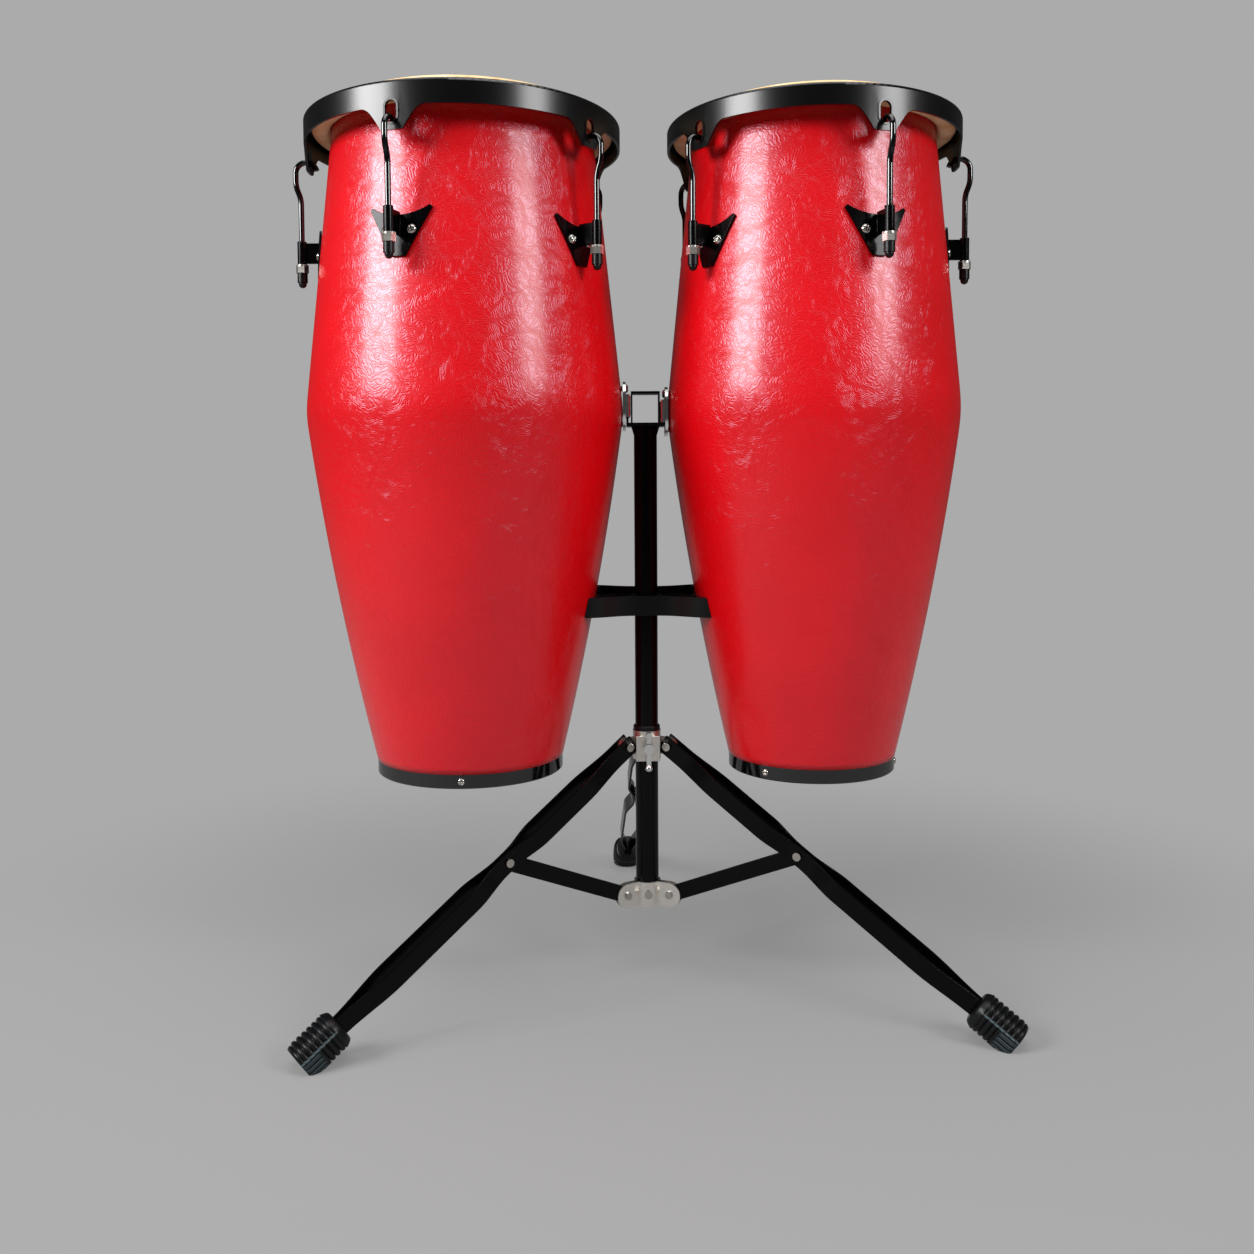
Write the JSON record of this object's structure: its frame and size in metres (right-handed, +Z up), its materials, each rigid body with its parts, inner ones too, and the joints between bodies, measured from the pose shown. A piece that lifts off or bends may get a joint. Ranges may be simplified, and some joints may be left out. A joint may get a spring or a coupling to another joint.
{
  "type": "conga drum pair on stand",
  "caption": "Pair of tall barrel-shaped hand drums, tuned by hooks and nuts, hung side by side on a folding tripod stand with a sliding collar and braced legs.",
  "frame": {"origin": "floor level, under the middle of the overall bounding box", "axes": "+Z up along the pole, -Y towards the player, +X from the larger drum to the smaller one"},
  "size_m": [0.7504, 0.6422, 0.9544],
  "materials": {
    "shell_lacquer": "gloss red lacquer over a wood shell, fine wavy grain relief",
    "ring_black": "gloss black",
    "screw_nickel": "bright nickel plate",
    "skin_rawhide": "natural rawhide, matt",
    "hoop_steel": "plain wire",
    "rim_black": "satin black powder coat",
    "hook_black": "gloss black",
    "lug_black": "gloss black",
    "cap_black": "satin black moulding",
    "nut_zinc": "bright zinc plate",
    "receiver_chrome": "polished chrome",
    "pole_black": "gloss black",
    "hanger_black": "gloss black",
    "yoke_plastic": "fine-grained black moulding",
    "screw_zinc": "zinc plate",
    "collar_chrome": "plated die casting",
    "bush_black": "satin black nylon",
    "bolt_chrome": "plated",
    "hub_steel": "zinc-plated pressing",
    "strap_black": "gloss black",
    "brace_black": "gloss black",
    "foot_rubber": "matt charcoal rubber"
  },
  "bodies": {
    "stand": {"pole": "pole_black", "hanger": "hanger_black", "rest_yoke": "yoke_plastic", "yoke_screw": "screw_zinc", "hub_segments": "hub_steel", "hub_rivets": "screw_zinc", "hub_screw": "screw_zinc"},
    "collar": {"fold_collar": "collar_chrome", "collar_bush": "bush_black", "leg_pivot_screws": "screw_zinc"},
    "clamp": {"clamp_bolt": "bolt_chrome"},
    "left_leg": {"left_leg_straps": "strap_black", "left_foot": "foot_rubber", "left_brace_screw": "screw_zinc"},
    "left_strut": {"left_brace": "brace_black"},
    "right_leg": {"right_leg_straps": "strap_black", "right_foot": "foot_rubber", "right_brace_screw": "screw_zinc"},
    "right_strut": {"right_brace": "brace_black"},
    "rear_leg": {"rear_leg_straps": "strap_black", "rear_foot": "foot_rubber", "rear_brace_screw": "screw_zinc"},
    "rear_strut": {"rear_brace": "brace_black"},
    "left_drum": {"left_shell": "shell_lacquer", "left_bottom_ring": "ring_black", "left_ring_screws": "screw_nickel", "left_head_skin": "skin_rawhide", "left_tuning_lugs": "lug_black", "left_fixing_screws": "screw_nickel", "left_inner_nuts": "nut_zinc", "left_receiver": "receiver_chrome"},
    "left_tension": {"left_rim": "rim_black", "left_flesh_hoop": "hoop_steel", "left_tuning_hooks": "hook_black", "left_rod_caps": "cap_black"},
    "left_nut_1": {"left_tuning_nut_1": "nut_zinc"},
    "left_nut_2": {"left_tuning_nut_2": "nut_zinc"},
    "left_nut_3": {"left_tuning_nut_3": "nut_zinc"},
    "left_nut_4": {"left_tuning_nut_4": "nut_zinc"},
    "left_nut_5": {"left_tuning_nut_5": "nut_zinc"},
    "right_drum": {"right_shell": "shell_lacquer", "right_bottom_ring": "ring_black", "right_ring_screws": "screw_nickel", "right_head_skin": "skin_rawhide", "right_tuning_lugs": "lug_black", "right_fixing_screws": "screw_nickel", "right_inner_nuts": "nut_zinc", "right_receiver": "receiver_chrome"},
    "right_tension": {"right_rim": "rim_black", "right_flesh_hoop": "hoop_steel", "right_tuning_hooks": "hook_black", "right_rod_caps": "cap_black"},
    "right_nut_1": {"right_tuning_nut_1": "nut_zinc"},
    "right_nut_2": {"right_tuning_nut_2": "nut_zinc"},
    "right_nut_3": {"right_tuning_nut_3": "nut_zinc"},
    "right_nut_4": {"right_tuning_nut_4": "nut_zinc"},
    "right_nut_5": {"right_tuning_nut_5": "nut_zinc"}
  },
  "joints": [
    {"name": "collar_slide", "type": "slide", "parent": "stand", "child": "collar", "axis": [0, 0, 1], "range_m": [-0.03, 0.02]},
    {"name": "clamp_bolt_turn", "type": "hinge", "parent": "collar", "child": "clamp", "pos_m": [0.00955, -0.11753, 0.263], "axis": [0.0523, -0.9986, 0], "range_deg": [0, 360]},
    {"name": "left_leg_hinge", "type": "hinge", "parent": "collar", "child": "left_leg", "pos_m": [-0.01525, -0.10266, 0.263], "axis": [0.5446, -0.8387, 0], "range_deg": [-4.33, 2.89]},
    {"name": "left_brace_hinge", "type": "hinge", "parent": "stand", "child": "left_strut", "pos_m": [-0.01575, -0.10298, 0.0957], "axis": [-0.5446, 0.8387, 0], "range_deg": [-7.12, 4.75]},
    {"name": "right_leg_hinge", "type": "hinge", "parent": "collar", "child": "right_leg", "pos_m": [0.03266, -0.10015, 0.263], "axis": [0.454, 0.891, 0], "range_deg": [-4.33, 2.89]},
    {"name": "right_brace_hinge", "type": "hinge", "parent": "stand", "child": "right_strut", "pos_m": [0.0332, -0.10042, 0.0957], "axis": [-0.454, -0.891, 0], "range_deg": [-7.12, 4.75]},
    {"name": "rear_leg_hinge", "type": "hinge", "parent": "collar", "child": "rear_leg", "pos_m": [0.00653, -0.05991, 0.263], "axis": [-0.9986, -0.0523, 0], "range_deg": [-4.33, 2.89]},
    {"name": "rear_brace_hinge", "type": "hinge", "parent": "stand", "child": "rear_strut", "pos_m": [0.0065, -0.05931, 0.0957], "axis": [0.9986, 0.0523, 0], "range_deg": [-7.12, 4.75]},
    {"name": "left_drum_lift", "type": "slide", "parent": "stand", "child": "left_drum", "axis": [0, 0, 1], "range_m": [0, 0.06]},
    {"name": "left_head_tension", "type": "slide", "parent": "left_drum", "child": "left_tension", "axis": [0, 0, -1], "range_m": [0, 0.005]},
    {"name": "left_nut_turn_1", "type": "hinge", "parent": "left_drum", "child": "left_nut_1", "pos_m": [-0.24063, -0.25802, 0.7903], "axis": [0, 0, 1], "range_deg": [0, 1800]},
    {"name": "left_nut_turn_2", "type": "hinge", "parent": "left_drum", "child": "left_nut_2", "pos_m": [-0.04252, -0.1898, 0.7903], "axis": [0, 0, 1], "range_deg": [0, 1800]},
    {"name": "left_nut_turn_3", "type": "hinge", "parent": "left_drum", "child": "left_nut_3", "pos_m": [-0.04618, 0.01969, 0.7903], "axis": [0, 0, 1], "range_deg": [0, 1800]},
    {"name": "left_nut_turn_4", "type": "hinge", "parent": "left_drum", "child": "left_nut_4", "pos_m": [-0.24655, 0.08095, 0.7903], "axis": [0, 0, 1], "range_deg": [0, 1800]},
    {"name": "left_nut_turn_5", "type": "hinge", "parent": "left_drum", "child": "left_nut_5", "pos_m": [-0.36673, -0.09068, 0.7903], "axis": [0, 0, 1], "range_deg": [0, 1800]},
    {"name": "right_drum_lift", "type": "slide", "parent": "stand", "child": "right_drum", "axis": [0, 0, 1], "range_m": [0, 0.06]},
    {"name": "right_head_tension", "type": "slide", "parent": "right_drum", "child": "right_tension", "axis": [0, 0, -1], "range_m": [0, 0.005]},
    {"name": "right_nut_turn_1", "type": "hinge", "parent": "right_drum", "child": "right_nut_1", "pos_m": [0.24023, -0.24704, 0.7903], "axis": [0, 0, 1], "range_deg": [0, 1800]},
    {"name": "right_nut_turn_2", "type": "hinge", "parent": "right_drum", "child": "right_nut_2", "pos_m": [0.05488, -0.18322, 0.7903], "axis": [0, 0, 1], "range_deg": [0, 1800]},
    {"name": "right_nut_turn_3", "type": "hinge", "parent": "right_drum", "child": "right_nut_3", "pos_m": [0.05831, 0.01278, 0.7903], "axis": [0, 0, 1], "range_deg": [0, 1800]},
    {"name": "right_nut_turn_4", "type": "hinge", "parent": "right_drum", "child": "right_nut_4", "pos_m": [0.24577, 0.0701, 0.7903], "axis": [0, 0, 1], "range_deg": [0, 1800]},
    {"name": "right_nut_turn_5", "type": "hinge", "parent": "right_drum", "child": "right_nut_5", "pos_m": [0.35821, -0.09048, 0.7903], "axis": [0, 0, 1], "range_deg": [0, 1800]}
  ],
  "couplings": [
    {"joint": "left_leg_hinge", "follows": "collar_slide", "rad_per_m": 2.5171},
    {"joint": "left_brace_hinge", "follows": "collar_slide", "rad_per_m": 4.1393},
    {"joint": "right_leg_hinge", "follows": "collar_slide", "rad_per_m": 2.5171},
    {"joint": "right_brace_hinge", "follows": "collar_slide", "rad_per_m": 4.1393},
    {"joint": "rear_leg_hinge", "follows": "collar_slide", "rad_per_m": 2.5171},
    {"joint": "rear_brace_hinge", "follows": "collar_slide", "rad_per_m": 4.1393},
    {"joint": "left_nut_turn_1", "follows": "left_head_tension", "rad_per_m": 6282.6},
    {"joint": "left_nut_turn_2", "follows": "left_head_tension", "rad_per_m": 6282.6},
    {"joint": "left_nut_turn_3", "follows": "left_head_tension", "rad_per_m": 6282.6},
    {"joint": "left_nut_turn_4", "follows": "left_head_tension", "rad_per_m": 6282.6},
    {"joint": "left_nut_turn_5", "follows": "left_head_tension", "rad_per_m": 6282.6},
    {"joint": "right_nut_turn_1", "follows": "right_head_tension", "rad_per_m": 6282.6},
    {"joint": "right_nut_turn_2", "follows": "right_head_tension", "rad_per_m": 6282.6},
    {"joint": "right_nut_turn_3", "follows": "right_head_tension", "rad_per_m": 6282.6},
    {"joint": "right_nut_turn_4", "follows": "right_head_tension", "rad_per_m": 6282.6},
    {"joint": "right_nut_turn_5", "follows": "right_head_tension", "rad_per_m": 6282.6}
  ]
}
